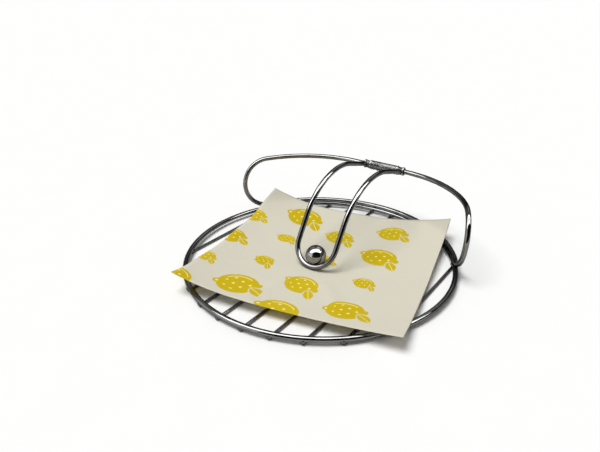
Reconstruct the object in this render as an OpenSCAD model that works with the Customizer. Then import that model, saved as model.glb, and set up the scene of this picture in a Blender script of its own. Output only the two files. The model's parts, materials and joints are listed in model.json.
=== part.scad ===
// Wire napkin holder: a round tray with a rail across its back, and a weighted arm that swings
// on the rail and rests on the napkin. The origin is the hoop's centre on the surface that the
// cross bars stand on. X runs along the rail, Y towards the rail and Z up.

/* [Tray] */
// Outside diameter of the tray's hoop
tray_d = 200; // [180:1:230]
// Thickness of the wire of hoop, handle and arm
wire_d = 3.8; // [3.2:0.1:4.4]
// Thickness of the cross bars
bar_d = 2.2; // [1.8:0.1:2.8]
// Number of cross bars
bar_count = 10; // [8:1:12]
// Distance from the hoop's wire centre to the outermost bars
bar_edge_gap = 13; // [10:0.5:18]
// How far a bar's tip reaches past the hoop's wire centre
bar_tip_reach = 0.4; // [0:0.1:1.5]
// Depth that each welded wire settles into the next
weld_set = 0.3; // [0.1:0.05:0.4]
// How much a bend or a drawn stretch takes off the wire's radius
bend_draw = 0.02; // [0.02:0.01:0.05]

/* [Handle] */
// Height of the rail's wire centre above the hoop's wire centre
rail_rise = 45; // [38:0.2:56]
// How far the turned ends lean outwards
rail_lean = 2.7; // [1:0.1:5]
// Angle from the X axis at which the base arc ends
base_arc_start = 28.3; // [22:0.1:36]

/* [Hinge] */
// Length of the whole sleeve
sleeve_length = 36; // [34:0.5:40]
// Length of the sleeve's thick middle
sleeve_body_length = 24; // [18:0.5:25]
// Diameter of the sleeve's thick middle
sleeve_body_d = 7.2; // [6.8:0.1:9]
// Diameter of the sleeve's two ends
sleeve_end_d = 6.2; // [6:0.1:6.6]
// Chamfer on the sleeve's edges
sleeve_chamfer = 0.4; // [0.1:0.1:0.6]
// Gap between the rail and the sleeve's bore, all round
sleeve_clearance = 0.1; // [0.05:0.01:0.15]

/* [Arm] */
// How far the sleeve and the arm sit to the right of the rail's middle
arm_offset = 4.6; // [0:0.1:6]
// Distance from the sleeve's end to the middle of the leg welded on it
leg_inset = 2.2; // [2:0.1:3]
// Angle at which the legs climb from the sleeve
arm_rise = 16; // [5:0.5:25]
// Length of the climbing stretch, from the rail's centre
arm_lead = 29.5; // [24:0.5:40]
// Bend radius of the legs' arch, to the wire centre
arm_bend_r = 53; // [45:0.5:60]
// Angle at which the legs come down
arm_drop = 58; // [50:0.5:64]
// Gap that the arm and the ball keep from the napkin
rest_gap = 0.3; // [0.2:0.05:0.6]

/* [Weight] */
// Diameter of the steel ball
ball_d = 15; // [12:0.5:18]

/* [Napkin] */
// Play of the folded napkin between the handle's turned ends
napkin_play = 12.8; // [8:0.2:20]
// Thickness of the folded napkin
napkin_t = 0.6; // [0.4:0.1:1.5]
// Gap that the napkin keeps from the wires below it
napkin_gap = 0.3; // [0.2:0.05:0.6]
// Turn of the napkin in the tray
napkin_turn = 12.4; // [0:0.1:16]
// Fore and aft place of the napkin's middle
napkin_y = -1.2; // [-6:0.1:6]
// How far the napkin's left edge lies inside the end of the base arc
napkin_edge_inset = 0.8; // [0:0.1:3]
// Spare height of the napkin where it crosses the hoop or the base arc
napkin_spare = 0.2; // [0.1:0.1:2]
// Rise of the front edge
lift_front = 3; // [0:0.1:8]
// Rise of the left edge
lift_left = 3.8; // [0:0.1:8]
// Curl of the front left corner
curl_front_left = 1.7; // [0:0.1:8]
// Curl of the back left corner
curl_back_left = 1.2; // [0:0.1:8]
// Curl of the back right corner
curl_back_right = 3.1; // [0:0.1:8]

/* [Hidden] */
$fn = 64;
wire_r = wire_d / 2;
drawn_r = wire_r - bend_draw;
wire_grip = 0.4;
hoop_r = tray_d / 2 - wire_r;
hoop_z = bar_d + wire_r - weld_set;
bar_pitch = 2 * (hoop_r - bar_edge_gap) / (bar_count - 1);
bar_chamfer_share = 0.15;
bar_chamfer = bar_chamfer_share * bar_d;

base_z = hoop_z + wire_d - weld_set;
rail_z = hoop_z + rail_rise;
lean_r = hoop_r + rail_lean;
rail_seat = sleeve_length / 2 + arm_offset;
rail_arc_r = lean_r - rail_seat / cos(base_arc_start);
rail_arc_y = (lean_r - rail_arc_r) * sin(base_arc_start);
rail_y = rail_arc_y + rail_arc_r;
turn_rise = rail_z - base_z;
turn_r = norm([turn_rise, rail_lean]) / 2;
turn_tilt = atan2(rail_lean, turn_rise);

bore_r = drawn_r + sleeve_clearance;
leg_x = sleeve_length / 2 - leg_inset;
cope_overrun = 1;
napkin_top = bar_d + napkin_gap + napkin_t;
arch_y = arm_lead * cos(arm_rise) + arm_bend_r * (sin(arm_rise) + sin(arm_drop));
arch_z = arm_lead * sin(arm_rise) + arm_bend_r * (cos(arm_drop) - cos(arm_rise));
foot_z = napkin_top + rest_gap + wire_r;
leg_drop = (rail_z + arch_z - foot_z) / sin(arm_drop) - leg_x;

ball_r = ball_d / 2;
ball_z = napkin_top + rest_gap + ball_r;
ball_reach = ball_r + wire_r - weld_set;
foot_y = rail_y - arch_y - (leg_drop + leg_x) * cos(arm_drop);
ball_y = foot_y + sqrt(pow(ball_reach, 2) - pow(ball_z - foot_z, 2));

turn_x = hoop_r * cos(base_arc_start);
turn_y = hoop_r * sin(base_arc_start);
napkin_side = 2 * turn_x * cos(napkin_turn) - napkin_play;
napkin_x = napkin_side / 2 / cos(napkin_turn) + (turn_y - napkin_y) * tan(napkin_turn)
    - turn_x + napkin_edge_inset;
lift_lead = 20;
lift_margin = 6;
hoop_lift = hoop_z + wire_r + napkin_spare - bar_d;
base_lift = base_z + wire_r + napkin_spare - bar_d;
lift_angles = [base_arc_start - lift_lead, base_arc_start - lift_margin];
napkin_cells = 24;
lift_power = 3;

function bar_name(i) = str("base_bar_", i < 10 ? "0" : "", i);

// An arc of wire round the Z axis, at the wire's full thickness
module wire_arc(radius, angle) {
    rotate_extrude(angle = angle) translate([radius, 0]) circle(r = wire_r);
}

// A bend: an arc that bending has drawn a little thinner, so that it grips into its neighbours
module wire_bend(radius, angle) {
    grip_angle = wire_grip / radius * 180 / PI;
    rotate([0, 0, -grip_angle])
        rotate_extrude(angle = angle + 2 * grip_angle)
        translate([radius, 0])
        circle(r = drawn_r);
}

// The wire of the tray's hoop, at its height
module hoop_wire() {
    translate([0, 0, hoop_z]) wire_arc(hoop_r, 360);
}

module tray_hoop() {
    color("silver") hoop_wire();
}

// One bar along Y under the hoop, with a small chamfer at both tips
module base_bar(i) {
    x = (i - (bar_count + 1) / 2) * bar_pitch;
    reach = sqrt(pow(hoop_r + bar_tip_reach, 2) - x * x);
    bar_r = bar_d / 2;
    color("silver") difference() {
        translate([x, 0, bar_r]) rotate([90, 0, 0]) rotate_extrude() polygon([
            [0, -reach],
            [bar_r - bar_chamfer, -reach],
            [bar_r, bar_chamfer - reach],
            [bar_r, reach - bar_chamfer],
            [bar_r - bar_chamfer, reach],
            [0, reach]
        ]);
        hoop_wire();
    }
}

// The half ring that carries the loop from the base arc up and back to the rail
module handle_turn() {
    translate([
        (hoop_r + lean_r) / 2 * cos(base_arc_start),
        (hoop_r + lean_r) / 2 * sin(base_arc_start),
        (base_z + rail_z) / 2
    ])
    rotate([0, 0, base_arc_start])
    rotate([0, turn_tilt, 0])
    rotate([0, 90, 180])
    wire_bend(turn_r, 180);
}

// One end of the handle: the turned half ring and the rail's curved stretch
module handle_side() {
    handle_turn();
    translate([rail_seat, rail_arc_y, rail_z])
        rotate([0, 0, base_arc_start])
        wire_arc(rail_arc_r, 90 - base_arc_start);
}

// The closed loop that stands on the back half of the hoop
module handle_loop() {
    color("silver") difference() {
        union() {
            translate([0, 0, base_z])
                rotate([0, 0, base_arc_start])
                wire_arc(hoop_r, 180 - 2 * base_arc_start);
            handle_side();
            mirror([1, 0, 0]) handle_side();
            translate([-rail_seat - wire_grip, rail_y, rail_z])
                rotate([0, 90, 0])
                cylinder(r = drawn_r, h = 2 * (rail_seat + wire_grip));
        }
        hoop_wire();
    }
}

// The stepped tube that turns on the rail
module hinge_sleeve() {
    half = sleeve_length / 2;
    step = sleeve_body_length / 2;
    end_r = sleeve_end_d / 2;
    body_r = sleeve_body_d / 2;
    color("silver") translate([arm_offset, rail_y, rail_z]) rotate([0, 90, 0])
        rotate_extrude() polygon([
            [bore_r, -half],
            [end_r - sleeve_chamfer, -half],
            [end_r, sleeve_chamfer - half],
            [end_r, -step],
            [body_r - sleeve_chamfer, -step],
            [body_r, sleeve_chamfer - step],
            [body_r, step - sleeve_chamfer],
            [body_r - sleeve_chamfer, step],
            [end_r, step],
            [end_r, half - sleeve_chamfer],
            [end_r - sleeve_chamfer, half],
            [bore_r, half]
        ]);
}

// A leg's wire in the plane X = 0, from the rail's centre line to the end of its drop
module arm_leg() {
    rotate([90 - arm_rise, 0, 0]) cylinder(r = wire_r, h = arm_lead);
    translate([0, -arm_lead * cos(arm_rise), arm_lead * sin(arm_rise)])
        rotate([-arm_rise, 0, 0])
        translate([0, 0, -arm_bend_r])
        rotate([90, 0, -90])
        rotate([0, 0, 90 - arm_rise - arm_drop])
        wire_bend(arm_bend_r, arm_rise + arm_drop);
    translate([0, -arch_y, arch_z])
        rotate([90 + arm_drop, 0, 0])
        cylinder(r = wire_r, h = leg_drop);
}

// The half ring that joins the two legs' lower ends
module arm_foot() {
    translate([0, -arch_y, arch_z])
        rotate([90 + arm_drop, 0, 0])
        translate([0, 0, leg_drop])
        rotate([90, 0, 0])
        wire_bend(leg_x, 180);
}

// The arm's one wire, its two ends coped round the sleeve and welded to it
module swing_arm() {
    color("silver") translate([arm_offset, rail_y, rail_z]) difference() {
        union() {
            for (side = [-1, 1]) translate([side * leg_x, 0, 0]) arm_leg();
            arm_foot();
        }
        translate([-sleeve_length / 2 - cope_overrun, 0, 0])
            rotate([0, 90, 0])
            cylinder(d = sleeve_end_d, h = sleeve_length + 2 * cope_overrun);
    }
}

// The ball that sits in the arm's bend and rests on the napkin
module weight_ball() {
    color("silver") difference() {
        translate([arm_offset, ball_y, ball_z]) sphere(r = ball_r);
        translate([arm_offset, rail_y, rail_z]) arm_foot();
    }
}

// A smooth step from 0 to 1 as t goes from 0 to 1
function smooth(t) = let (u = min(max(t, 0), 1)) u * u * (3 - 2 * u);

// What the wire under the napkin's edge lifts it by: the hoop, or the base arc on the hoop
function wire_lift(x, y) =
    let (angle = atan2(y, abs(x)))
    let (step = (angle - lift_angles[0]) / (lift_angles[1] - lift_angles[0]))
    hoop_lift + (base_lift - hoop_lift) * smooth(step);

// The napkin's own lifts and curls, at shares a and b of its half side
function rise(share) = pow(max(share, 0), lift_power);
function paper_lift(a, b) =
    lift_left * rise(-a) + lift_front * rise(-b)
    + curl_front_left * rise(-a) * rise(-b)
    + curl_back_left * rise(-a) * rise(b)
    + curl_back_right * rise(a) * rise(b);

// A point of the napkin at shares a and b of its half side, level above its lower face
function napkin_point(a, b, level) =
    let (half = napkin_side / 2)
    let (x = napkin_x + half * (a * cos(napkin_turn) - b * sin(napkin_turn)))
    let (y = napkin_y + half * (a * sin(napkin_turn) + b * cos(napkin_turn)))
    let (reach = norm([x, y]) / hoop_r)
    let (lift = wire_lift(x, y) * pow(reach, lift_power) + paper_lift(a, b))
    [x, y, bar_d + napkin_gap + lift + level];

// The folded napkin: a sheet that lies on the bars and rises over the wires at its edges
module napkin() {
    n = napkin_cells;
    row = n + 1;
    sheet = row * row;
    shares = [for (i = [0 : n]) 2 * i / n - 1];
    points = concat(
        [for (b = shares) for (a = shares) napkin_point(a, b, 0)],
        [for (b = shares) for (a = shares) napkin_point(a, b, napkin_t)]
    );
    cells = [for (j = [0 : n - 1]) for (i = [0 : n - 1]) j * row + i];
    under = [for (c = cells) for (t = [[c, c + 1, c + row], [c + 1, c + row + 1, c + row]]) t];
    over = [for (t = under) [t[0] + sheet, t[2] + sheet, t[1] + sheet]];
    rim = concat(
        [for (i = [0 : n - 1]) i],
        [for (j = [0 : n - 1]) j * row + n],
        [for (i = [n : -1 : 1]) n * row + i],
        [for (j = [n : -1 : 1]) j * row]
    );
    walls = [
        for (k = [0 : len(rim) - 1])
        let (p = rim[k], q = rim[(k + 1) % len(rim)])
        for (t = [[p, p + sheet, q], [q, p + sheet, q + sheet]]) t
    ];
    color("ivory") polyhedron(points = points, faces = concat(under, over, walls));
}

tray_hoop();
for (i = [1 : bar_count]) base_bar(i);
handle_loop();
hinge_sleeve();
swing_arm();
weight_ball();
napkin();
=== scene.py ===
"""Looks of the wire napkin holder: chromed wire, a polished ball and a printed paper napkin.

Metres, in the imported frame: X along the rail, Y towards the rail, Z up, and the hoop's centre
at the origin of X and Y.
"""

import json
import math

import bmesh
import bpy
from mathutils import Matrix, Vector


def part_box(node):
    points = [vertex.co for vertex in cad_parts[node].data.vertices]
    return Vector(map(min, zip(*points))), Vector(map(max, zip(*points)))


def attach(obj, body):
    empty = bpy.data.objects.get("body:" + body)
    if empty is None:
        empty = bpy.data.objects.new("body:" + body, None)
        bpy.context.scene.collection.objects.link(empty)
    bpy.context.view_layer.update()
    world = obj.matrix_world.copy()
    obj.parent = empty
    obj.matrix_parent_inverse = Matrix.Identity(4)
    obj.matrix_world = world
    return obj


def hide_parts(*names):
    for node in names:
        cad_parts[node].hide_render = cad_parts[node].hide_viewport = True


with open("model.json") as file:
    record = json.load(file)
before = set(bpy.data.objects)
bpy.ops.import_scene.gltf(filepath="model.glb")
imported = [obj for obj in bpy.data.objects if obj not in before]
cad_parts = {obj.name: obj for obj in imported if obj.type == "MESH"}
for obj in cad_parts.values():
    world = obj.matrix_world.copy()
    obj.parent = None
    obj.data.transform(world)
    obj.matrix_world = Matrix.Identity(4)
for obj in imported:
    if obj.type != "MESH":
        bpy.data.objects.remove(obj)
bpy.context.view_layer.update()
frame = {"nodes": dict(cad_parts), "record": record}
scene = bpy.context.scene
scene.view_settings.view_transform = "Standard"

MM = 0.001

# ---------------------------------------------------------------- sizes, as in the CAD source
HOOP_R = 98.1 * MM
HOOP_Z = 3.8 * MM
WIRE_R = 1.9 * MM
BAR_D = 2.2 * MM
WELD_SET = 0.3 * MM
BASE_ARC_START = math.radians(28.3)
BASE_Z = HOOP_Z + 2 * WIRE_R - WELD_SET

BARS = sorted(n for n in frame["nodes"] if n.startswith("base_bar"))
BALL_LOW, BALL_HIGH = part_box("weight_ball")
BALL = (BALL_LOW + BALL_HIGH) / 2
BALL_R = (BALL_HIGH.z - BALL_LOW.z) / 2

SLEEVE_BODY_R = 3.6 * MM
SLEEVE_END_R = 3.1 * MM
SLEEVE_END_LENGTH = 6 * MM
LEG_INSET = 2.2 * MM
ARM_RISE = math.radians(16)

NAPKIN_PLAY = 12.8 * MM
NAPKIN_T = 0.6 * MM
NAPKIN_GAP = 0.3 * MM
NAPKIN_TURN = math.radians(12.4)
NAPKIN_Y = -1.2 * MM
NAPKIN_INSET = 0.8 * MM
NAPKIN_SPARE = 0.2 * MM
LIFT_FRONT = 3.0 * MM
LIFT_LEFT = 3.8 * MM
CURL_FRONT_LEFT = 1.7 * MM
CURL_BACK_LEFT = 1.2 * MM
CURL_BACK_RIGHT = 3.1 * MM
LIFT_POWER = 3
LIFT_FROM, LIFT_TO = BASE_ARC_START - math.radians(20), BASE_ARC_START - math.radians(6)

TURN_X, TURN_Y = HOOP_R * math.cos(BASE_ARC_START), HOOP_R * math.sin(BASE_ARC_START)
NAPKIN_SIDE = 2 * TURN_X * math.cos(NAPKIN_TURN) - NAPKIN_PLAY
NAPKIN_X = (
    NAPKIN_SIDE / 2 / math.cos(NAPKIN_TURN)
    + (TURN_Y - NAPKIN_Y) * math.tan(NAPKIN_TURN)
    - TURN_X
    + NAPKIN_INSET
)

# ---------------------------------------------------------------- the camera of the photograph
IMAGE_W = 600
FOCAL_PX = 517.43
CAMERA_AZIMUTH = math.radians(36.267)
CAMERA_ELEVATION = math.radians(26.235)
CAMERA_ROLL = math.radians(-0.231)
CAMERA_DISTANCE = 430.99 * MM
CAMERA_TARGET = Vector((-41.25 * MM, 31.98 * MM, HOOP_Z))
CLIP_NEAR, CLIP_FAR = 0.01, 50
SENSOR_WIDTH = 36.0


def make_camera():
    sin_a, cos_a = math.sin(CAMERA_AZIMUTH), math.cos(CAMERA_AZIMUTH)
    sin_e, cos_e = math.sin(CAMERA_ELEVATION), math.cos(CAMERA_ELEVATION)
    back = Vector((sin_a * cos_e, -cos_a * cos_e, sin_e))
    right = Vector((cos_a, sin_a, 0))
    up = back.cross(right)
    side = right * math.cos(CAMERA_ROLL) + up * math.sin(CAMERA_ROLL)
    top = up * math.cos(CAMERA_ROLL) - right * math.sin(CAMERA_ROLL)
    data = bpy.data.cameras.new("camera")
    data.sensor_width = SENSOR_WIDTH
    data.lens = FOCAL_PX / IMAGE_W * SENSOR_WIDTH
    data.clip_start, data.clip_end = CLIP_NEAR, CLIP_FAR
    camera = bpy.data.objects.new("camera", data)
    scene.collection.objects.link(camera)
    place = Matrix((side, top, back)).transposed().to_4x4()
    place.translation = CAMERA_TARGET + back * CAMERA_DISTANCE
    camera.matrix_world = place
    scene.camera = camera


# ---------------------------------------------------------------- helpers
def add_object(name, mesh, material):
    obj = bpy.data.objects.new(name, mesh)
    scene.collection.objects.link(obj)
    mesh.materials.append(material)
    return obj


def object_from(bm, name, material):
    """An object of the mesh in bm, which is freed."""
    mesh = bpy.data.meshes.new(name)
    bm.to_mesh(mesh)
    bm.free()
    return add_object(name, mesh, material)


def srgb(r, g, b):
    """A linear colour from 0 to 255 values, by the sRGB standard's curve."""
    def line(v):
        v /= 255
        return v / 12.92 if v <= 0.04045 else ((v + 0.055) / 1.055) ** 2.4
    return (line(r), line(g), line(b), 1.0)


# the places of a Mix node's sockets for a share and for colours, since their names repeat
MIX_SHARE, MIX_FIRST, MIX_SECOND, MIX_RESULT = 0, 6, 7, 2


class Graph:
    """A small hand for wiring shader nodes: a call returns its output sockets.

    What goes in is a socket or a plain value.
    """

    def __init__(self, name):
        self.material = bpy.data.materials.new(name)
        self.material.use_nodes = True
        self.nodes = self.material.node_tree.nodes
        self.links = self.material.node_tree.links
        self.shader = self.nodes["Principled BSDF"]

    def put(self, value, socket):
        if isinstance(value, bpy.types.NodeSocket):
            self.links.new(value, socket)
        else:
            socket.default_value = value

    def object_place(self):
        return self.nodes.new("ShaderNodeTexCoord").outputs["Object"]

    def uv(self, name):
        node = self.nodes.new("ShaderNodeUVMap")
        node.uv_map = name
        return node.outputs[0]

    def math(self, operation, *values, clamp=False):
        node = self.nodes.new("ShaderNodeMath")
        node.operation, node.use_clamp = operation, clamp
        for value, socket in zip(values, node.inputs):
            self.put(value, socket)
        return node.outputs[0]

    def plus(self, first, second):
        return self.math("ADD", first, second)

    def minus(self, first, second):
        return self.math("SUBTRACT", first, second)

    def times(self, first, second):
        return self.math("MULTIPLY", first, second)

    def over(self, first, second):
        return self.math("DIVIDE", first, second)

    def absolute(self, value):
        return self.math("ABSOLUTE", value)

    def odd(self, value):
        """1 where a whole number is odd, and 0 where it is even."""
        return self.math("MODULO", self.absolute(value), 2.0)

    def squares(self, first, second):
        return self.plus(self.times(first, first), self.times(second, second))

    def turned(self, x, y, cosine, sine):
        """The two coordinates of a point along axes that are turned to the left."""
        return (self.plus(self.times(x, cosine), self.times(y, sine)),
                self.minus(self.times(y, cosine), self.times(x, sine)))

    def remap(self, value, source, target):
        """The range source made the range target, and held at its ends beyond it."""
        node = self.nodes.new("ShaderNodeMapRange")
        for part, socket in zip((value, *source, *target), node.inputs):
            self.put(part, socket)
        return node.outputs[0]

    def below(self, value, edge, most=1.0):
        """The share most below the two values of edge, fading between them to 0."""
        return self.remap(value, edge, (most, 0.0))

    def scaled(self, vector, scale):
        node = self.nodes.new("ShaderNodeVectorMath")
        node.operation = "MULTIPLY"
        self.put(vector, node.inputs[0])
        node.inputs[1].default_value = scale
        return node.outputs[0]

    def split(self, vector):
        node = self.nodes.new("ShaderNodeSeparateXYZ")
        self.put(vector, node.inputs[0])
        return node.outputs[0], node.outputs[1], node.outputs[2]

    def chances(self, x, y):
        """Three even chances for each pair of whole numbers."""
        pair = self.nodes.new("ShaderNodeCombineXYZ")
        self.put(x, pair.inputs[0])
        self.put(y, pair.inputs[1])
        node = self.nodes.new("ShaderNodeTexWhiteNoise")
        node.noise_dimensions = "2D"
        self.put(pair.outputs[0], node.inputs["Vector"])
        return self.split(node.outputs["Color"])

    def noise(self, vector, scale, detail, roughness=0.5):
        node = self.nodes.new("ShaderNodeTexNoise")
        self.put(vector, node.inputs["Vector"])
        node.inputs["Scale"].default_value = scale
        node.inputs["Detail"].default_value = detail
        node.inputs["Roughness"].default_value = roughness
        return node.outputs[0]

    def mix(self, share, first, second):
        node = self.nodes.new("ShaderNodeMix")
        node.data_type = "RGBA"
        self.put(share, node.inputs[MIX_SHARE])
        self.put(first, node.inputs[MIX_FIRST])
        self.put(second, node.inputs[MIX_SECOND])
        return node.outputs[MIX_RESULT]

    def bump(self, height, distance, strength=1.0):
        node = self.nodes.new("ShaderNodeBump")
        node.inputs["Strength"].default_value = strength
        node.inputs["Distance"].default_value = distance
        self.put(height, node.inputs["Height"])
        self.links.new(node.outputs[0], self.shader.inputs["Normal"])

    def surface(self, **values):
        """Sets the shader's sockets, named with _ for each space."""
        for name, value in values.items():
            self.put(value, self.shader.inputs[name.replace("_", " ")])


# ---------------------------------------------------------------- metal
# The wire's plate is painted darker than chrome: painted shade, for the dark surroundings that
# the metal reflects.
CHROME = (0.19, 0.19, 0.187, 1.0)
CHROME_DULL = (0.125, 0.123, 0.119, 1.0)
# A grey edge tint, so that the metal stays dark at its edges: a painted dark outline.
CHROME_EDGE = (0.32, 0.32, 0.32, 1.0)
# The ball's plate is the same chrome, painted lighter than the wire's: a painted lit copy. Its
# real polish is its lower roughness, BALL_GLOSS.
BALL_CHROME_PAINTED_LIGHTER = (0.34, 0.34, 0.333, 1.0)
BALL_CHROME_PAINTED_LIGHTER_DULL = (0.27, 0.268, 0.26, 1.0)
SOOT = (0.07, 0.068, 0.064, 1.0)

# roughness where the plate is polished, and where it is hazy
WIRE_GLOSS = (0.02, 0.08)
BALL_GLOSS = (0.01, 0.04)
SLEEVE_GLOSS = (0.06, 0.20)
WELD_GLOSS = (0.12, 0.30)

# depth of the dents
WIRE_DENTS = 0.02 * MM
BALL_DENTS = 0.002 * MM
WELD_DENTS = 0.06 * MM

# clouds, smears and grain are noise: its scale, its detail and the part of it that counts
CLOUD_SCALE, CLOUD_DETAIL, CLOUD_RANGE = 90, 4, (0.45, 0.75)
BALL_CLOUD_SCALE = 60
WELD_CLOUD_SCALE = 240
SMEAR_FINER, SMEAR_DETAIL, SMEAR_ROUGHNESS, SMEAR_RANGE = 4, 5, 0.6, (0.35, 0.75)
SMEAR_STRETCH = (1, 1, 2.5)
GRAIN_FINER, GRAIN_DETAIL = 9, 2

RING_PITCH = 0.45 * MM
RING_SHARE = 0.12
UNEVEN_SCALE, UNEVEN_DETAIL = 520, 3
SKIN_DEPTH, SKIN_STRENGTH = 0.4 * MM, 0.9


def plated(name, base, dull, gloss, cloud_scale=CLOUD_SCALE):
    """Chromed steel: a bright plate with faint clouds and hazy patches."""
    g = Graph(name)
    place = g.object_place()
    clouds = g.noise(place, cloud_scale, CLOUD_DETAIL)
    smears = g.noise(g.scaled(place, SMEAR_STRETCH), cloud_scale * SMEAR_FINER,
                     SMEAR_DETAIL, SMEAR_ROUGHNESS)
    g.surface(
        Base_Color=g.mix(g.remap(clouds, CLOUD_RANGE, (0, 1)), base, dull),
        Specular_Tint=CHROME_EDGE,
        Metallic=1.0,
        Roughness=g.remap(smears, SMEAR_RANGE, gloss),
    )
    return g, place


def dented(name, base, dull, gloss, dents, cloud_scale=CLOUD_SCALE):
    """Chromed steel with shallow dents."""
    g, place = plated(name, base, dull, gloss, cloud_scale)
    g.bump(g.noise(place, cloud_scale * GRAIN_FINER, GRAIN_DETAIL), dents)
    return g.material


def sleeve_metal():
    """Turned tube: chrome over an uneven skin with fine rings that run round the rail."""
    g, place = plated("turned_sleeve", CHROME, SOOT, SLEEVE_GLOSS)
    x, _, _ = g.split(place)
    rings = g.math("SINE", g.times(x, 2 * math.pi / RING_PITCH))
    uneven = g.noise(place, UNEVEN_SCALE, UNEVEN_DETAIL)
    g.bump(g.plus(g.times(rings, RING_SHARE), uneven), SKIN_DEPTH, SKIN_STRENGTH)
    return g.material


# ---------------------------------------------------------------- the napkin's shape
PLY = 0.10 * MM
PLIES = 4
FOLD = 0.004            # half width of a fold's bend, as a share of the half sheet
CELLS = 54              # cells on each half of the sheet
SPLAY = 0.5 * MM        # how far the plies part at their loose corner

# faint waves along the loose edges: how fast they come, and where they start
WAVE = 0.9 * MM
WAVE_LEFT = (9.5, 0.6)
WAVE_BACK = (8.0, 2.0)
WAVE_BACK_SHARE = 0.5

# soft wrinkles that run out from under the ball: direction, half width and height in mm
WRINKLES = ((214, 3.2, 1.1), (24, 3.6, 0.9), (262, 4.2, 0.8), (160, 3.6, 0.8), (318, 4.4, 1.0))
WRINKLE_FROM, WRINKLE_GROWTH = 20 * MM, 14 * MM
WRINKLE_TO, WRINKLE_DECLINE = 84 * MM, 40 * MM


def smooth_step(t):
    t = min(max(t, 0.0), 1.0)
    return t * t * (3 - 2 * t)


def rise(share):
    """The lift of an edge, where share is 1. The middle, at 0, and what is past it lie flat."""
    return max(share, 0.0) ** LIFT_POWER


def napkin_height(x, y, a, b):
    """Height of the napkin's lower face, as the CAD source has it."""
    angle = math.atan2(y, abs(x))
    hoop_lift = HOOP_Z + WIRE_R + NAPKIN_SPARE - BAR_D
    base_lift = BASE_Z + WIRE_R + NAPKIN_SPARE - BAR_D
    over_wire = hoop_lift + (base_lift - hoop_lift) * smooth_step(
        (angle - LIFT_FROM) / (LIFT_TO - LIFT_FROM)
    )
    own = (
        LIFT_LEFT * rise(-a)
        + LIFT_FRONT * rise(-b)
        + CURL_FRONT_LEFT * rise(-a) * rise(-b)
        + CURL_BACK_LEFT * rise(-a) * rise(b)
        + CURL_BACK_RIGHT * rise(a) * rise(b)
    )
    return BAR_D + NAPKIN_GAP + over_wire * (math.hypot(x, y) / HOOP_R) ** LIFT_POWER + own


def wave_height(a, b):
    """The waves of the left and the back edge, as a share of the deepest."""
    def ripple(along, pace, start):
        return 0.5 + 0.5 * math.sin(pace * along + start)
    return rise(-a) * ripple(b, *WAVE_LEFT) + WAVE_BACK_SHARE * rise(b) * ripple(a, *WAVE_BACK)


def wrinkle_height(x, y):
    """The wrinkles fade out under the ball and its wire, and again towards the edges."""
    dx, dy = x - BALL.x, y - BALL.y
    away, angle = math.hypot(dx, dy), math.atan2(dy, dx)
    fade = smooth_step((away - WRINKLE_FROM) / WRINKLE_GROWTH)
    fade *= smooth_step((WRINKLE_TO - away) / WRINKLE_DECLINE)
    total = 0.0
    for degrees, width, height in WRINKLES:
        aside = math.remainder(angle - math.radians(degrees), 2 * math.pi) * away
        total += height * math.exp(-(aside / (width * MM)) ** 2)
    return total * fade * MM


def napkin_point(u, v):
    """A point of the folded sheet's middle surface. The sheet is folded first at u = 0, then
    at v = 0: the folds are the napkin's right and front edges, and its printed face is out."""
    a, b = 1 - 2 * abs(u), 2 * abs(v) - 1
    half = NAPKIN_SIDE / 2
    cos_t, sin_t = math.cos(NAPKIN_TURN), math.sin(NAPKIN_TURN)
    x = NAPKIN_X + half * (a * cos_t - b * sin_t)
    y = NAPKIN_Y + half * (a * sin_t + b * cos_t)
    fold_u = min(max(u / FOLD, -1), 1)
    fold_v = min(max(v / FOLD, -1), 1)
    spacing = (NAPKIN_T - PLY) / (PLIES - 1)
    level = -fold_v * (1 + fold_u / 2)
    loose = rise(-a) * rise(b)
    z = napkin_height(x, y, a, b) + NAPKIN_T / 2 + level * spacing
    z += WAVE * wave_height(a, b) + SPLAY * loose * max(level, 0) + wrinkle_height(x, y)
    return Vector((x, y, z))


def half_steps():
    """Steps from the fold, at 0, to the sheet's edge, at 1, closer at the fold."""
    return [0.0, FOLD] + [FOLD + (1 - FOLD) * (i + 1) / CELLS for i in range(CELLS)]


def napkin_sheet(material):
    half = half_steps()
    steps = [-t for t in reversed(half[1:])] + half
    count = len(steps)
    bm = bmesh.new()
    grid = [[bm.verts.new(napkin_point(u, v)) for u in steps] for v in steps]
    uv = bm.loops.layers.uv.new("sheet")
    for j in range(count - 1):
        for i in range(count - 1):
            corners = ((i, j), (i, j + 1), (i + 1, j + 1), (i + 1, j))
            face = bm.faces.new([grid[q][p] for p, q in corners])
            face.smooth = True
            for loop, (p, q) in zip(face.loops, corners):
                loop[uv].uv = (steps[p], steps[q])
    sheet = object_from(bm, "folded_napkin", material)
    thick = sheet.modifiers.new("ply", "SOLIDIFY")
    thick.thickness, thick.offset = PLY, 0
    return sheet


# ---------------------------------------------------------------- the napkin's paper and print
PAPER = srgb(216, 211, 194)
PAPER_SHADE = srgb(209, 204, 186)
INK = srgb(197, 170, 2)
INK_THIN = srgb(210, 187, 34)
SPECK = srgb(238, 227, 140)

# the tissue's fibres, and its slow swells
FIBRE_SCALE, FIBRE_DETAIL, FIBRE_ROUGHNESS = 3.2, 5, 0.7
FIBRE_STRETCH = (1.0, 2.2, 1.0)
FIBRE_TINT = (0.35, 0.7)
FIBRE_RANGE, PAPER_GLOSS = (0.3, 0.7), (0.80, 0.97)
SWELL_SCALE, SWELL_DETAIL, SWELL_SHARE = 0.22, 2, 2.5
PAPER_DEPTH, PAPER_STRENGTH = 0.12 * MM, 0.6
PAPER_SPECULAR = 0.06

# the ink is thinner in blotches, and in some motifs
BLOTCH_SCALE, BLOTCH_DETAIL, BLOTCH_ROUGHNESS = 0.9, 4, 0.65
BLOTCH_RANGE, BLOTCH_THIN = (0.4, 0.75), (0.0, 0.6)
MOTIF_THIN = (0.0, 0.4)

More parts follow.
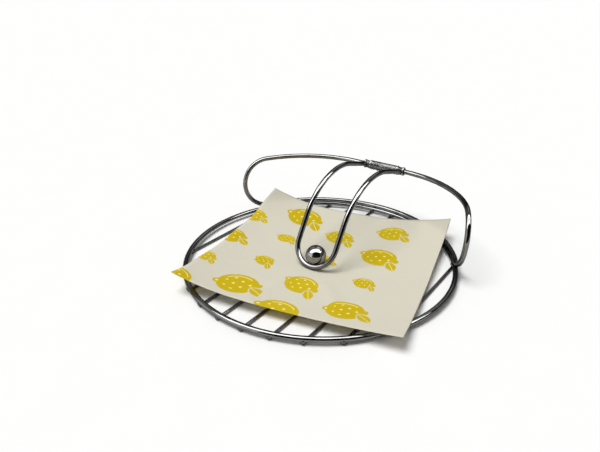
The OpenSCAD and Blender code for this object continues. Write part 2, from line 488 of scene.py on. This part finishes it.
# the layout in mm, on the whole sheet, whose folds cross at its origin
PRINT_PITCH = 38.0
PRINT_START = 21.0      # the bare margin along the napkin's right edge
PRINT_END = -136.0      # no motif is centred nearer to its back edge
HALF_DROP = 0.5         # how far every second column drops, in pitches
MOTIF_HALF = 13.6
SIZE_CHANCES, MOTIF_SIZES = (0.15, 0.80), (0.62, 1.24)
MOTIF_TURNS = (-0.35, 0.35)

# one motif, a lemon with its leaf, in shares of its half length
MOTIF_SHIFT = 0.05
LEMON_HALF = (0.86, 0.76)
NUB_PLACE, NUB_HALF = 0.82, (0.20, 0.18)
LEMON_EDGE = (0.97, 1.03)
WOBBLE_SCALE, WOBBLE_DETAIL, WOBBLE_SHARE = 0.35, 3, 0.16
LEAF_PLACE, LEAF_HALF, LEAF_TILT = (0.88, 0.50), (0.44, 0.24), math.radians(48)
LEAF_EDGE = (0.95, 1.05)
LINE_FROM, LINE_TO, LINE_SHARE = (1.0, 1.1), (1.30, 1.42), 0.8      # the line round the leaf
RIB_EDGE, RIB_SHARE = (0.012, 0.03), 0.8        # the rib along it
SHINE_RING, SHINE_EDGE = 0.64, (0.03, 0.07)
SHINE_SIDE, SHINE_REACH = (-0.34, -0.26), 0.5
PORE_PITCH = (0.34, 0.46)
PORE_SQUASH = 0.75      # near the ratio of the two pitches, so that the pores are round
PORE_EDGE = (0.014, 0.026)
PORES_WITHIN = (0.42, 0.50)


def print_cells(g, sheet):
    """The cells of the half drop repeat: a cell's chances, where it has a motif, and a point's
    place in it from its centre, in pitches."""
    s, t, _ = g.split(sheet)
    steps = g.over(g.minus(s, PRINT_START), PRINT_PITCH)
    column = g.math("FLOOR", steps)
    dropped = g.times(g.odd(column), HALF_DROP)
    drop = g.plus(g.over(t, PRINT_PITCH), dropped)
    row = g.math("FLOOR", drop)
    across = g.minus(steps, g.plus(column, 0.5))
    along = g.minus(drop, g.plus(row, 0.5))
    centre = g.minus(g.plus(row, 0.5), dropped)
    printed = g.times(g.math("GREATER_THAN", column, -0.5),
                      g.math("GREATER_THAN", centre, PRINT_END / PRINT_PITCH))
    return g.chances(column, row), printed, across, along


def motif_place(g, across, along, size, turn):
    """A point by its motif: p from the lemon's tip at -1 to its stem at 1, and q across it."""
    scale = g.over(PRINT_PITCH / MOTIF_HALF, size)
    cos_r, sin_r = g.math("COSINE", turn), g.math("SINE", turn)
    p = g.times(scale, g.minus(g.times(along, sin_r), g.times(across, cos_r)))
    q = g.times(scale, g.plus(g.times(across, sin_r), g.times(along, cos_r)))
    return g.plus(p, MOTIF_SHIFT), q


def oval(g, p, q, half):
    """1 on an oval's outline, and less inside it."""
    return g.squares(g.over(p, half[0]), g.over(q, half[1]))


def leaf_masks(g, p, q):
    """One leaf by the stem: its own mask, the pale line that sets it off, and its pale rib."""
    m, n = g.turned(g.minus(p, LEAF_PLACE[0]), g.minus(q, LEAF_PLACE[1]),
                    math.cos(LEAF_TILT), math.sin(LEAF_TILT))
    aside = g.absolute(n)
    reach = g.over(g.absolute(m), LEAF_HALF[0])
    leaf = g.plus(g.math("POWER", reach, 2.0), g.over(aside, LEAF_HALF[1]))
    in_leaf = g.below(leaf, LEAF_EDGE)
    line = g.times(g.remap(leaf, LINE_FROM, (0.0, LINE_SHARE)), g.below(leaf, LINE_TO))
    rib = g.times(g.below(aside, RIB_EDGE, RIB_SHARE), in_leaf)
    return in_leaf, line, rib


def shine_mask(g, p, q, ring):
    """A pale shine along one side of the fruit."""
    shine = g.below(g.absolute(g.minus(ring, SHINE_RING)), SHINE_EDGE)
    reach = g.math("LESS_THAN", g.absolute(p), SHINE_REACH)
    return g.times(shine, g.times(g.below(q, SHINE_SIDE), reach))


def pore_mask(g, p, q):
    """Round pores in staggered rows."""
    rows = g.over(p, PORE_PITCH[0])
    rank = g.math("FLOOR", rows)
    seats = g.plus(g.over(q, PORE_PITCH[1]), g.times(g.odd(rank), 0.5))
    dp = g.minus(g.minus(rows, rank), 0.5)
    dq = g.minus(g.math("FRACT", seats), 0.5)
    return g.below(g.squares(g.times(dp, PORE_SQUASH), dq), PORE_EDGE)


def lemon_masks(g, p, q, wobble):
    """One lemon with its leaf: where it is inked, and where its ink is pale."""
    ring = oval(g, p, q, LEMON_HALF)
    nub = oval(g, g.minus(g.absolute(p), NUB_PLACE), q, NUB_HALF)
    fruit = g.plus(g.math("MINIMUM", ring, nub), g.times(wobble, WOBBLE_SHARE))
    in_leaf, line, rib = leaf_masks(g, p, q)
    pores = g.times(pore_mask(g, p, q), g.below(fruit, PORES_WITHIN))
    pores = g.times(pores, g.minus(1.0, in_leaf))
    pale = g.math("MAXIMUM", pores, g.math("MAXIMUM", shine_mask(g, p, q, ring), rib))
    inked = g.math("MAXIMUM", g.times(g.below(fruit, LEMON_EDGE), g.minus(1.0, line)), in_leaf)
    return inked, pale


def napkin_paper():
    """Cream tissue with a generic print of lemons in a half drop repeat."""
    g = Graph("printed_tissue")
    sheet = g.scaled(g.uv("sheet"), (NAPKIN_SIDE / MM, NAPKIN_SIDE / MM, 1))
    (one, two, three), printed, across, along = print_cells(g, sheet)
    size = g.remap(one, SIZE_CHANCES, MOTIF_SIZES)
    turn = g.remap(two, (0, 1), MOTIF_TURNS)
    thin = g.remap(three, (0, 1), MOTIF_THIN)
    p, q = motif_place(g, across, along, size, turn)
    wobble = g.minus(g.noise(sheet, WOBBLE_SCALE, WOBBLE_DETAIL), 0.5)
    inked, pale = lemon_masks(g, p, q, wobble)

    blotch = g.noise(sheet, BLOTCH_SCALE, BLOTCH_DETAIL, BLOTCH_ROUGHNESS)
    blotch = g.remap(blotch, BLOTCH_RANGE, BLOTCH_THIN)
    ink = g.mix(g.math("ADD", blotch, thin, clamp=True), INK, INK_THIN)
    ink = g.mix(pale, ink, SPECK)

    fibre = g.noise(g.scaled(sheet, FIBRE_STRETCH), FIBRE_SCALE, FIBRE_DETAIL, FIBRE_ROUGHNESS)
    paper = g.mix(g.remap(fibre, FIBRE_TINT, (0, 1)), PAPER, PAPER_SHADE)
    g.surface(
        Base_Color=g.mix(g.times(inked, printed), paper, ink),
        Roughness=g.remap(fibre, FIBRE_RANGE, PAPER_GLOSS),
        Specular_IOR_Level=PAPER_SPECULAR,
    )
    swell = g.times(g.noise(sheet, SWELL_SCALE, SWELL_DETAIL), SWELL_SHARE)
    g.bump(g.plus(fibre, swell), PAPER_DEPTH, PAPER_STRENGTH)
    return g.material


# ---------------------------------------------------------------- welds
# how far a weld's skin rises and falls, as a share of its size, and how fast, per metre
LUMPS = 0.06
LUMP_PACE_X, LUMP_PACE_Y = 2600, 2300
LUMP_START_X, LUMP_START_Y = 900, 700
BEAD_SUBDIVISIONS = 3

TIP_BEAD_R = 2.3 * MM

# degrees round the hoop, and how much each weld is larger than the rest
ARC_WELDS = ((30, 1.6), (62, 1), (90, 1), (118, 1), (150, 1.6))
ARC_WELD_OUT, ARC_WELD_ALONG, ARC_WELD_UP = 1.25 * MM, 2.4 * MM, 0.55 * MM

SEAM_ANGLE = math.radians(-22)      # from straight forward, down
SEAM_PITCH = 1.7 * MM
SEAM_MARGIN = 1.5 * MM
SEAM_HALF = (0.85 * MM, 0.75 * MM, 1.3 * MM)

FILLET_BEADS = 14
FILLET_R = 0.85 * MM
FILLET_OUT = 0.25 * MM              # from the sleeve's skin

BALL_WELD_BEADS = 5
BALL_WELD_PITCH = 0.9 * MM
BALL_WELD_UP = 0.9 * MM
BALL_WELD_HALF = (0.8 * MM, 0.7 * MM, 0.7 * MM)

# how much a row of beads wanders or swells, its pace from bead to bead, and where it starts
SEAM_WANDER = (0.16, 2.3, 0.0)
SEAM_SWELL = (0.25, 1.9, 0.7)
FILLET_SWELL = (0.2, 2.7, 0.0)


def vary(i, share, pace, start):
    return share * math.sin(i * pace + start)


def weld_nugget(bm, place, half, turn):
    """A flattened bead with an uneven skin, half sunk between two wires."""
    matrix = (
        Matrix.Translation(place)
        @ Matrix.Rotation(turn, 4, "Z")
        @ Matrix.Diagonal((*half, 1))
    )
    made = bmesh.ops.create_icosphere(
        bm, subdivisions=BEAD_SUBDIVISIONS, radius=1, matrix=matrix
    )
    for vert in made["verts"]:
        away = vert.co - Vector(place)
        lump = (
            math.sin(away.x * LUMP_PACE_X + place[0] * LUMP_START_X)
            * math.cos(away.y * LUMP_PACE_Y + place[1] * LUMP_START_Y)
        )
        vert.co += away * LUMPS * lump


def weld_piece(name, body, beads, material):
    """One piece of many beads, each given by its place, half sizes and turn about Z."""
    bm = bmesh.new()
    for place, half, turn in beads:
        weld_nugget(bm, place, half, turn)
    for face in bm.faces:
        face.smooth = True
    piece = object_from(bm, name, material)
    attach(piece, body)


def bar_welds():
    """The round bead at each tip of the cross bars, under the hoop."""
    beads = []
    for node in BARS:
        low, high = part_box(node)
        x = (low.x + high.x) / 2
        y = math.sqrt(HOOP_R ** 2 - x * x)
        for side in (-1, 1):
            beads.append(((x, side * y, TIP_BEAD_R * (1 + LUMPS)), (TIP_BEAD_R,) * 3, 0.0))
    return beads


def arc_welds():
    """Welds between the base arc and the hoop below it, the largest by its turned ends."""
    seam_z = HOOP_Z + WIRE_R - WELD_SET / 2
    beads = []
    for degrees, grow in ARC_WELDS:
        a = math.radians(degrees)
        place = (HOOP_R * math.cos(a), HOOP_R * math.sin(a), seam_z)
        beads.append((place, (ARC_WELD_OUT * grow, ARC_WELD_ALONG, ARC_WELD_UP * grow), a))
    return beads


def seam_beads(low, high):
    """The seam along the sleeve, low on its front."""
    axis_y, axis_z = (low.y + high.y) / 2, (low.z + high.z) / 2
    beads = []
    for i in range(int((high.x - low.x - 2 * SEAM_MARGIN) / SEAM_PITCH) + 1):
        x = low.x + SEAM_MARGIN + i * SEAM_PITCH
        in_body = low.x + SLEEVE_END_LENGTH < x < high.x - SLEEVE_END_LENGTH
        r = SLEEVE_BODY_R if in_body else SLEEVE_END_R
        angle = SEAM_ANGLE + vary(i, *SEAM_WANDER)
        swell = 1 + vary(i, *SEAM_SWELL)
        beads.append((
            (x, axis_y - r * math.cos(angle), axis_z + r * math.sin(angle)),
            (SEAM_HALF[0], SEAM_HALF[1] * swell, SEAM_HALF[2] * swell), 0.0,
        ))
    return beads


def fillet_beads(low, high):
    """A fillet round the root of each leg, which leaves the sleeve forward and up."""
    axis_y, axis_z = (low.y + high.y) / 2, (low.z + high.z) / 2
    cos_rise, sin_rise = math.cos(ARM_RISE), math.sin(ARM_RISE)
    beads = []
    for x in (low.x + LEG_INSET, high.x - LEG_INSET):
        for i in range(FILLET_BEADS):
            a = 2 * math.pi * i / FILLET_BEADS
            aside, above = WIRE_R * math.cos(a), WIRE_R * math.sin(a)
            along = math.sqrt(SLEEVE_END_R ** 2 - above ** 2) + FILLET_OUT
            r = FILLET_R * (1 + vary(i, *FILLET_SWELL))
            beads.append((
                (x + aside, axis_y - along * cos_rise - above * sin_rise,
                 axis_z + along * sin_rise + above * cos_rise),
                (r,) * 3, 0.0,
            ))
    return beads


def ball_beads():
    """The weld between the ball and the bend of the arm's wire."""
    arm_low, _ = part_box("swing_arm")
    foot = Vector((BALL.x, arm_low.y + WIRE_R, arm_low.z + WIRE_R))
    weld = BALL + (foot - BALL).normalized() * BALL_R
    return [
        ((weld.x + (i - BALL_WELD_BEADS // 2) * BALL_WELD_PITCH, weld.y, weld.z + BALL_WELD_UP),
         BALL_WELD_HALF, 0.0)
        for i in range(BALL_WELD_BEADS)
    ]


def arm_welds():
    low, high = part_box("hinge_sleeve")
    return seam_beads(low, high) + fillet_beads(low, high) + ball_beads()


RIM_R = 0.6 * MM
RIM_STEPS, RIM_SIDES = 48, 12
RIM_SINK = 0.15 * MM            # how far a rim's wire is sunk into the sleeve
STEP_RIM_R = SLEEVE_BODY_R - 0.25 * MM


def sleeve_rims(material):
    """Rolled rims at the sleeve's two ends, and one at each step of its body."""
    low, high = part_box("hinge_sleeve")
    centre = (low + high) / 2
    half = (high.x - low.x) / 2
    bm = bmesh.new()
    for offset, r in ((half - RIM_R, SLEEVE_END_R), (half - SLEEVE_END_LENGTH, STEP_RIM_R)):
        for side in (-1, 1):
            rings = []
            for i in range(RIM_STEPS):
                a = 2 * math.pi * i / RIM_STEPS
                ring = []
                for j in range(RIM_SIDES):
                    b = 2 * math.pi * j / RIM_SIDES
                    away = r - RIM_SINK + RIM_R * math.cos(b)
                    ring.append(bm.verts.new((
                        centre.x + side * (offset + RIM_R * math.sin(b)),
                        centre.y + away * math.cos(a), centre.z + away * math.sin(a),
                    )))
                rings.append(ring)
            for i in range(RIM_STEPS):
                for j in range(RIM_SIDES):
                    k, m = (i + 1) % RIM_STEPS, (j + 1) % RIM_SIDES
                    face = bm.faces.new((rings[i][j], rings[k][j], rings[k][m], rings[i][m]))
                    face.smooth = True
    bmesh.ops.recalc_face_normals(bm, faces=bm.faces)
    rims = object_from(bm, "sleeve_rims", material)
    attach(rims, "arm")


# ---------------------------------------------------------------- stage
WORLD_FILL = 0.30       # the white surroundings' strength for all that doesn't see them
KEY_DIRECTION = Vector((-0.18, -0.25, 0.95))
KEY_STRENGTH = 2.5
KEY_ANGLE = math.radians(36)

FLOOR_HALF = 6.0
FLOOR_COLOUR = (0.95, 0.95, 0.945, 1)
FLOOR_SHADE = 0.985     # how dark its mottle is
FLOOR_ROUGHNESS = 0.9
MOTTLE_SCALE, MOTTLE_DETAIL = 30, 3


def make_world():
    """White where the camera, reflections and glass see it, and dimmer as a light."""
    world = bpy.data.worlds.new("studio")
    scene.world = world
    world.use_nodes = True
    nodes, links = world.node_tree.nodes, world.node_tree.links
    background = nodes["Background"]
    background.inputs["Color"].default_value = (1, 1, 1, 1)
    path = nodes.new("ShaderNodeLightPath")
    seen = path.outputs["Is Camera Ray"]
    for ray in ("Is Glossy Ray", "Is Transmission Ray"):
        either = nodes.new("ShaderNodeMath")
        either.operation = "MAXIMUM"
        links.new(seen, either.inputs[0])
        links.new(path.outputs[ray], either.inputs[1])
        seen = either.outputs[0]
    level = nodes.new("ShaderNodeMapRange")
    level.inputs["To Min"].default_value = WORLD_FILL
    level.inputs["To Max"].default_value = 1.0
    links.new(seen, level.inputs["Value"])
    links.new(level.outputs[0], background.inputs["Strength"])


def square(centre, right, up, name):
    """A flat mesh, right and up its half sides."""
    corners = [centre + right * p + up * q for p, q in ((-1, -1), (1, -1), (1, 1), (-1, 1))]
    mesh = bpy.data.meshes.new(name)
    mesh.from_pydata([tuple(c) for c in corners], [], [(0, 1, 2, 3)])
    return mesh


def make_floor():
    g = Graph("pale_floor")
    mottle = g.noise(g.object_place(), MOTTLE_SCALE, MOTTLE_DETAIL)
    shade = tuple(c * FLOOR_SHADE for c in FLOOR_COLOUR[:3]) + (1,)
    g.surface(
        Base_Color=g.mix(mottle, FLOOR_COLOUR, shade),
        Roughness=FLOOR_ROUGHNESS,
        Specular_IOR_Level=0.0,
    )
    mesh = square(Vector(), Vector((FLOOR_HALF, 0, 0)), Vector((0, FLOOR_HALF, 0)), "floor")
    add_object("floor", mesh, g.material)


def make_key():
    data = bpy.data.lights.new("key", "SUN")
    data.energy, data.angle = KEY_STRENGTH, KEY_ANGLE
    key = bpy.data.objects.new("key", data)
    scene.collection.objects.link(key)
    key.rotation_mode = "QUATERNION"
    key.rotation_quaternion = KEY_DIRECTION.to_track_quat("Z", "Y")
    key.visible_glossy = False


def card(name, centre, right, up, strength):
    """A flat card or softbox, right and up its half sides, that only reflections see."""
    material = bpy.data.materials.new(name)
    material.use_nodes = True
    nodes, links = material.node_tree.nodes, material.node_tree.links
    nodes.clear()
    glow = nodes.new("ShaderNodeEmission")
    glow.inputs["Strength"].default_value = strength
    out = nodes.new("ShaderNodeOutputMaterial")
    links.new(glow.outputs[0], out.inputs["Surface"])
    obj = add_object(name, square(centre, right, up, name), material)
    obj.visible_camera = obj.visible_diffuse = obj.visible_shadow = False
    obj.visible_transmission = obj.visible_volume_scatter = False


WALL_AWAY = 1.5
WALL_EDGE = 0.85        # height of the edge between the lower and the upper cards
WALL_TOP = 3.4
# strengths from behind the camera round by its right, for the lower and the upper cards
LOW_SHADES = (0.02, 0.02, 0.03, 0.10, 0.08, 0.08, 0.08, 0.15, 0.25, 1.20, 1.50, 0.04)
HIGH_SHADES = (0.01, 0.01, 0.02, 0.05, 0.40, 0.90, 0.18, 0.38, 0.30, 0.30, 1.00, 0.02)
CEILING_HALF = 2
CEILING_SHADE = 0.20
SOFTBOX_Z = 0.9
SOFTBOX_HALF = 1.4
SOFTBOX_STRENGTH = 8.0
SOFTBOX_PANELS = ((-0.40, -0.135), (-0.085, 0.17))     # each from and to, away from the camera


def make_cards():
    """Cards all round as a studio has, dark behind the camera, and a softbox of two panels."""
    right = Vector((math.cos(CAMERA_AZIMUTH), math.sin(CAMERA_AZIMUTH), 0))
    back = Vector((-math.sin(CAMERA_AZIMUTH), math.cos(CAMERA_AZIMUTH), 0))
    count = len(LOW_SHADES)
    half = WALL_AWAY * math.tan(math.pi / count)
    for i in range(count):
        a = 2 * math.pi * i / count
        out = right * math.sin(a) - back * math.cos(a)
        side = right * math.cos(a) + back * math.sin(a)
        for tier, low, high, shades in (
            ("low", 0, WALL_EDGE, LOW_SHADES), ("high", WALL_EDGE, WALL_TOP, HIGH_SHADES)
        ):
            card(f"{tier}_card_{i}", out * WALL_AWAY + Vector((0, 0, (low + high) / 2)),
                 side * half, Vector((0, 0, (high - low) / 2)), shades[i])
    card("ceiling", Vector((0, 0, WALL_TOP)), right * CEILING_HALF, back * CEILING_HALF,
         CEILING_SHADE)
    for i, (near, far) in enumerate(SOFTBOX_PANELS):
        card(f"softbox_{i}", back * (near + far) / 2 + Vector((0, 0, SOFTBOX_Z)),
             right * SOFTBOX_HALF, back * (far - near) / 2, SOFTBOX_STRENGTH)


# ---------------------------------------------------------------- the scene
make_camera()
make_world()
make_floor()
make_key()
make_cards()

METALS = {
    "chrome_wire": dented("chromed_wire", CHROME, CHROME_DULL, WIRE_GLOSS, WIRE_DENTS),
    "chrome_sleeve": sleeve_metal(),
    # the ball's chrome is painted lighter than the wire's: a painted lit copy
    "polished_ball": dented("polished_ball", BALL_CHROME_PAINTED_LIGHTER, BALL_CHROME_PAINTED_LIGHTER_DULL, BALL_GLOSS, BALL_DENTS,
                            BALL_CLOUD_SCALE),
}
for row in frame["record"]["subparts"]:
    if row["material_slot"] in METALS:
        mesh = frame["nodes"][row["node"]].data
        mesh.materials.clear()
        mesh.materials.append(METALS[row["material_slot"]])

napkin = napkin_sheet(napkin_paper())
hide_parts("napkin")
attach(napkin, "tray")

# plated welds: duller than the wire, with a pebbled skin
welds = dented("plated_weld", CHROME_DULL, SOOT, WELD_GLOSS, WELD_DENTS, WELD_CLOUD_SCALE)
weld_piece("bar_welds", "tray", bar_welds(), welds)
weld_piece("arc_welds", "tray", arc_welds(), welds)
weld_piece("arm_welds", "arm", arm_welds(), welds)
# the rims take the ball's lighter metal: a painted highlight, which makes them a bright collar
# on the sleeve
sleeve_rims(METALS["polished_ball"])
